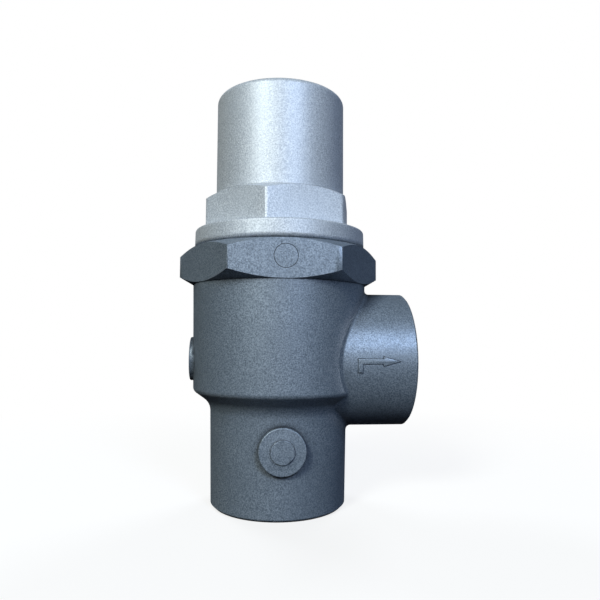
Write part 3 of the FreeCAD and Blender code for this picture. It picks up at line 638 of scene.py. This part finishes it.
# %% Port threads
THREAD_PITCH = 2.309 * MM
THREAD_DEPTH = 1.25 * MM
THREAD_ROOT_OVERLAP = 0.08 * MM
THREAD_STEPS = 96
THREAD_START = 0.9 * MM
THREAD_MERGE_WITHIN = 0.001 * MM
THREAD_FOOT_SHARE = 0.86
THREAD_CREST_SHARE = 0.22


def draw_tooth(name, bore):
    """Draw one tooth's outline upright at a bore's wall, wide at its foot and narrow at its crest."""
    clear_selection()
    bpy.ops.mesh.primitive_plane_add(size=1, location=(0, 0, 0), rotation=(math.pi / 2, 0, 0))
    thread = bpy.context.object
    thread.scale = (THREAD_DEPTH + THREAD_ROOT_OVERLAP, THREAD_PITCH * THREAD_FOOT_SHARE, 1)
    thread.location.x = bore + THREAD_ROOT_OVERLAP - (THREAD_DEPTH + THREAD_ROOT_OVERLAP) / 2
    thread.location.z = THREAD_START + THREAD_PITCH / 2
    settle(thread, name)
    enter_edit(thread, "VERT")
    pick(thread, "VERT", lambda place: place.x < bore - THREAD_DEPTH / 2)
    bpy.ops.transform.resize(value=(1, 1, THREAD_CREST_SHARE))
    leave_edit()
    return thread


def wind_tooth(thread, turns):
    """Wind the outline up along +Z and close both ends of the ridge."""
    apply_modifier(thread, "SCREW", axis="Z", angle=2 * math.pi, screw_offset=THREAD_PITCH,
                   iterations=turns, steps=THREAD_STEPS, render_steps=THREAD_STEPS,
                   use_merge_vertices=False)
    enter_edit(thread, "EDGE")
    bpy.ops.mesh.select_all(action="SELECT")
    bpy.ops.mesh.remove_doubles(threshold=THREAD_MERGE_WITHIN)
    bpy.ops.mesh.select_all(action="DESELECT")
    bpy.ops.mesh.select_non_manifold(extend=False, use_wire=False, use_boundary=True,
                                     use_multi_face=False, use_non_contiguous=False, use_verts=False)
    bpy.ops.mesh.fill_holes(sides=4)
    bpy.ops.mesh.select_all(action="SELECT")
    bpy.ops.mesh.normals_make_consistent(inside=False)
    leave_edit()


def make_port_thread(name, mount):
    """Make a thread along +Z, then turn it to the mount's own axis."""
    bore = mount["dims"]["r_mm"] * MM
    turns = int((mount["dims"]["length_mm"] * MM - THREAD_START) / THREAD_PITCH) - 1
    thread = draw_tooth(name, bore)
    wind_tooth(thread, turns)
    inwards = -Vector(mount["axis"])
    thread.matrix_world = (
        Matrix.Translation(Vector(mount["pos_m"]))
        @ UP.rotation_difference(inwards).to_matrix().to_4x4()
    )
    settle(thread, name)
    bpy.ops.object.shade_smooth_by_angle(angle=SMOOTH_UP_TO)
    return thread


inlet_thread = make_port_thread("inlet_thread", INLET)
outlet_thread = make_port_thread("outlet_thread", OUTLET)
dress(inlet_thread, casting_finish, "housing", "body_casting")
dress(outlet_thread, casting_finish, "housing", "body_casting")

# %% [markdown]
# The springs are cold-wound wire with closed and ground ends. A curve that climbs slowly in its
# end coils and faster between them carries the round section, and two cuts grind the ends flat.

# %% Springs
WIRE_POINTS = 32
MAIN_WIRE_RADIUS = 2.2 * MM
MAIN_TURNS = 9
CHECK_WIRE_RADIUS = 0.4 * MM
CHECK_TURNS = 6


def wire_height(wound, turns, first, last, closed):
    """Say how high the wire's middle is after a number of turns."""
    if wound < 1:
        return first + closed * wound
    if wound > turns - 1:
        return last - closed * (turns - wound)
    return first + closed + (last - first - 2 * closed) * (wound - 1) / (turns - 2)


def wind_wire(name, coil_radius, wire_radius, turns, first, last):
    """Wind a round wire between two heights, with a closed coil at each end."""
    curve = bpy.data.curves.new(name, "CURVE")
    curve.dimensions = "3D"
    curve.bevel_depth = wire_radius
    curve.bevel_resolution = 5
    curve.use_fill_caps = True
    spline = curve.splines.new("POLY")
    count = int(turns * WIRE_POINTS) + 1
    spline.points.add(count - 1)
    for index in range(count):
        wound = index / WIRE_POINTS
        angle = 2 * math.pi * wound
        height = wire_height(wound, turns, first, last, 2 * wire_radius)
        spline.points[index].co = (coil_radius * math.cos(angle), coil_radius * math.sin(angle), height, 1)
    spring = bpy.data.objects.new(name, curve)
    bpy.context.scene.collection.objects.link(spring)
    work_on(spring)
    bpy.ops.object.convert(target="MESH")
    return bpy.context.object


def make_spring(name, node, wire_radius, turns):
    """Wind a spring as tall as its node and grind its ends flat."""
    low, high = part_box(node)
    coil_radius = (high.y - low.y) / 2 - wire_radius
    ground = wire_radius / 2
    first = low.z - ground + wire_radius
    last = high.z + ground - wire_radius
    spring = wind_wire(name, coil_radius, wire_radius, turns, first, last)
    for height, way in ((low.z, -1), (high.z, 1)):
        enter_edit(spring)
        bpy.ops.mesh.select_all(action="SELECT")
        bpy.ops.mesh.bisect(plane_co=(0, 0, height), plane_no=(0, 0, way), use_fill=True, clear_outer=True)
        leave_edit()
    spring.data.validate()
    work_on(spring)
    bpy.ops.object.shade_smooth_by_angle(angle=SMOOTH_UP_TO)
    return spring


main_coil = make_spring("main_spring_coil", "main_spring", MAIN_WIRE_RADIUS, MAIN_TURNS)
check_coil = make_spring("check_spring_coil", "check_spring", CHECK_WIRE_RADIUS, CHECK_TURNS)
dress(main_coil, wire_finish, "housing", "spring_steel", "main_spring")
dress(check_coil, wire_finish, "piston", "spring_steel", "check_spring")
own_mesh(main_coil)
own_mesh(check_coil)

# %% [markdown]
# The valve stands on a plain white floor, under a white sky. Both look white from their own
# colour, while only a part of that light reaches the valve. The floor is a mix of a painted
# surface, which keeps the shadow, and of plain white, which takes over further out, so that
# no horizon shows. From below it is see-through, so that the inlet can be looked into.

# %% Floor and sky
AMBIENT = 0.02
FLOOR_SIZE = 6
FLOOR_GAP = 0.05 * MM
FLOOR_SHADOW = 0.22
SHADOW_REACH = 90 * MM
WHITE_REACH = 260 * MM


def make_floor():
    clear_selection()
    bpy.ops.mesh.primitive_plane_add(size=FLOOR_SIZE, location=(0, 0, -FLOOR_GAP))
    floor = bpy.context.object
    floor.name = "floor"
    finish = Finish("white_floor", 0.9, 0.0)
    finish.shader.inputs["Base Color"].default_value = (0.93, 0.93, 0.93, 1)
    tree = finish.tree
    distance = tree.nodes.new("ShaderNodeVectorMath")
    distance.operation = "LENGTH"
    finish.join(finish.place, distance.inputs[0])
    whiteness = finish.levels(distance.outputs["Value"], SHADOW_REACH, WHITE_REACH, 1 - FLOOR_SHADOW, 1.0)
    seen = tree.nodes.new("ShaderNodeMath")
    seen.operation = "MULTIPLY"
    finish.join(whiteness, seen.inputs[0])
    finish.join(tree.nodes.new("ShaderNodeLightPath").outputs["Is Camera Ray"], seen.inputs[1])
    glow = tree.nodes.new("ShaderNodeEmission")
    mixer = tree.nodes.new("ShaderNodeMixShader")
    finish.join(seen.outputs[0], mixer.inputs[0])
    finish.join(finish.shader.outputs[0], mixer.inputs[1])
    finish.join(glow.outputs[0], mixer.inputs[2])
    one_sided = tree.nodes.new("ShaderNodeMixShader")
    finish.join(tree.nodes.new("ShaderNodeNewGeometry").outputs["Backfacing"], one_sided.inputs[0])
    finish.join(mixer.outputs[0], one_sided.inputs[1])
    finish.join(tree.nodes.new("ShaderNodeBsdfTransparent").outputs[0], one_sided.inputs[2])
    finish.join(one_sided.outputs[0], tree.nodes["Material Output"].inputs["Surface"])
    floor.data.materials.append(finish.material)
    floor.visible_shadow = False


def make_sky():
    world = bpy.data.worlds.new("white_sky")
    bpy.context.scene.world = world
    world.use_nodes = True
    tree = world.node_tree
    background = tree.nodes["Background"]
    path = tree.nodes.new("ShaderNodeLightPath")
    seen = tree.nodes.new("ShaderNodeMath")
    seen.operation = "MAXIMUM"
    tree.links.new(path.outputs["Is Camera Ray"], seen.inputs[0])
    tree.links.new(path.outputs["Is Glossy Ray"], seen.inputs[1])
    through = tree.nodes.new("ShaderNodeMath")
    through.operation = "MAXIMUM"
    tree.links.new(seen.outputs[0], through.inputs[0])
    tree.links.new(path.outputs["Is Transmission Ray"], through.inputs[1])
    strength = tree.nodes.new("ShaderNodeMapRange")
    strength.inputs["To Min"].default_value = AMBIENT
    strength.inputs["To Max"].default_value = 1.0
    tree.links.new(through.outputs[0], strength.inputs["Value"])
    tree.links.new(strength.outputs["Result"], background.inputs["Strength"])
    background.inputs["Color"].default_value = (1, 1, 1, 1)


make_floor()
make_sky()

# %% [markdown]
# A photographer darkens the edges of a bright piece with black cards at its sides, which the
# camera doesn't see. Here one stands on each side and one behind, one hangs above, and a dark mat
# lies round the foot, so that the undersides stay as dark as on the real casting. None of them
# throws a shadow.

# %% Black cards
CARD_DISTANCE = 0.28
CARD_SIZE = 0.7
CARD_FORWARD = -0.1
CARD_HEIGHT = 0.2
TOP_CARD_HEIGHT = 0.45
MAT_RADIUS = 1.2
MAT_GAP = 0.02 * MM
CARD_COLOUR = (0.012, 0.012, 0.014, 1)


def make_card(name, place, turned):
    clear_selection()
    bpy.ops.mesh.primitive_plane_add(size=CARD_SIZE, location=place, rotation=turned)
    card = settle(bpy.context.object, name)
    hide_from_camera(card)


def hide_from_camera(card):
    finish = Finish(card.name, 1.0, 0.0)
    finish.shader.inputs["Base Color"].default_value = CARD_COLOUR
    finish.shader.inputs["Specular IOR Level"].default_value = 0.0
    card.data.materials.append(finish.material)
    card.visible_camera = False
    card.visible_shadow = False


def make_mat():
    clear_selection()
    bpy.ops.mesh.primitive_circle_add(
        vertices=ROUND_STEPS, radius=MAT_RADIUS, fill_type="NGON", location=(0, 0, -MAT_GAP),
    )
    hide_from_camera(settle(bpy.context.object, "mat"))


make_card("left_card", (-CARD_DISTANCE, CARD_FORWARD, CARD_HEIGHT), (0, math.pi / 2, 0))
make_card("right_card", (CARD_DISTANCE, CARD_FORWARD, CARD_HEIGHT), (0, math.pi / 2, 0))
make_card("top_card", (0, CARD_FORWARD, TOP_CARD_HEIGHT), (0, 0, 0))
make_card("back_card", (0, CARD_DISTANCE, CARD_HEIGHT), (math.pi / 2, 0, 0))
make_mat()

# %% [markdown]
# Two soft lamps stand in front, one on each side of the camera. The left one is the stronger,
# slightly green, and the right one is bluer and weaker. Between them a cylinder gets a bright
# band left of its middle, a cooler band right of it, and darker edges that show how round it is.

# %% Lamps
VALVE_MIDDLE = Vector((0, 0, 75)) * MM
LAMP_DISTANCE = 1.2
FRONT_LAMP_SIZE = 0.35
KEY_POWER = 10.5
COOL_POWER = 7.4
KEY_COLOUR = (0.95, 1.0, 0.91)
COOL_COLOUR = (0.60, 0.75, 1.0)


def add_lamp(name, azimuth, elevation, size, power, colour):
    """Hang a round lamp at an azimuth from the front, towards +X, and turn it to the valve."""
    data = bpy.data.lights.new(name, "AREA")
    data.shape = "DISK"
    data.size = size
    data.energy = power
    data.color = colour
    lamp = bpy.data.objects.new(name, data)
    bpy.context.scene.collection.objects.link(lamp)
    across = math.radians(azimuth)
    up = math.radians(elevation)
    way = Vector((math.sin(across) * math.cos(up), -math.cos(across) * math.cos(up), math.sin(up)))
    lamp.location = VALVE_MIDDLE + way * LAMP_DISTANCE
    lamp.rotation_euler = (-way).to_track_quat("-Z", "Y").to_euler()
    return lamp


add_lamp("key_lamp", -34, 31, FRONT_LAMP_SIZE, KEY_POWER, KEY_COLOUR)
add_lamp("cool_lamp", 21, 29, FRONT_LAMP_SIZE, COOL_POWER, COOL_COLOUR)

# %% [markdown]
# Two larger and softer lamps light the back. They stand so far round that from the front they
# touch only the outermost rim, and they don't show in reflections, so the dark edges stay dark.

# %% Back lamps
BACK_LAMP_SIZE = 0.5
BACK_POWER = 8.0
BACK_COLOUR = (0.90, 0.95, 1.0)

for azimuth in (-145, 145):
    back_lamp = add_lamp("back_lamp", azimuth, 30, BACK_LAMP_SIZE, BACK_POWER, BACK_COLOUR)
    back_lamp.visible_glossy = False

# %% [markdown]
# The ports are deep, and from their own side they would look black. A narrow torch shines into
# each one along its axis, and its cone is no wider than the bore, so it touches nothing else. The
# inlet's torch is the weaker one, because the steel plate up there faces it squarely.

# %% Torches into the ports
TORCH_DISTANCE = 0.4
TORCH_SIZE = 0.01
TORCH_EDGE = 0.1
INLET_POWER = 0.7
OUTLET_POWER = 5.0


def add_torch(mount, power):
    """Hang a spot lamp on a port's axis that just fills its bore."""
    bore = mount["dims"]["r_mm"] * MM
    outwards = Vector(mount["axis"])
    data = bpy.data.lights.new(mount["name"] + "_torch", "SPOT")
    data.energy = power
    data.spot_size = 2 * math.atan(bore / TORCH_DISTANCE)
    data.spot_blend = TORCH_EDGE
    data.shadow_soft_size = TORCH_SIZE
    torch = bpy.data.objects.new(data.name, data)
    bpy.context.scene.collection.objects.link(torch)
    torch.location = Vector(mount["pos_m"]) + outwards * TORCH_DISTANCE
    torch.rotation_euler = (-outwards).to_track_quat("-Z", "Y").to_euler()


add_torch(INLET, INLET_POWER)
add_torch(OUTLET, OUTLET_POWER)

bpy.context.scene.view_settings.view_transform = "Standard"

# %% [markdown]

# %% Last import
import json
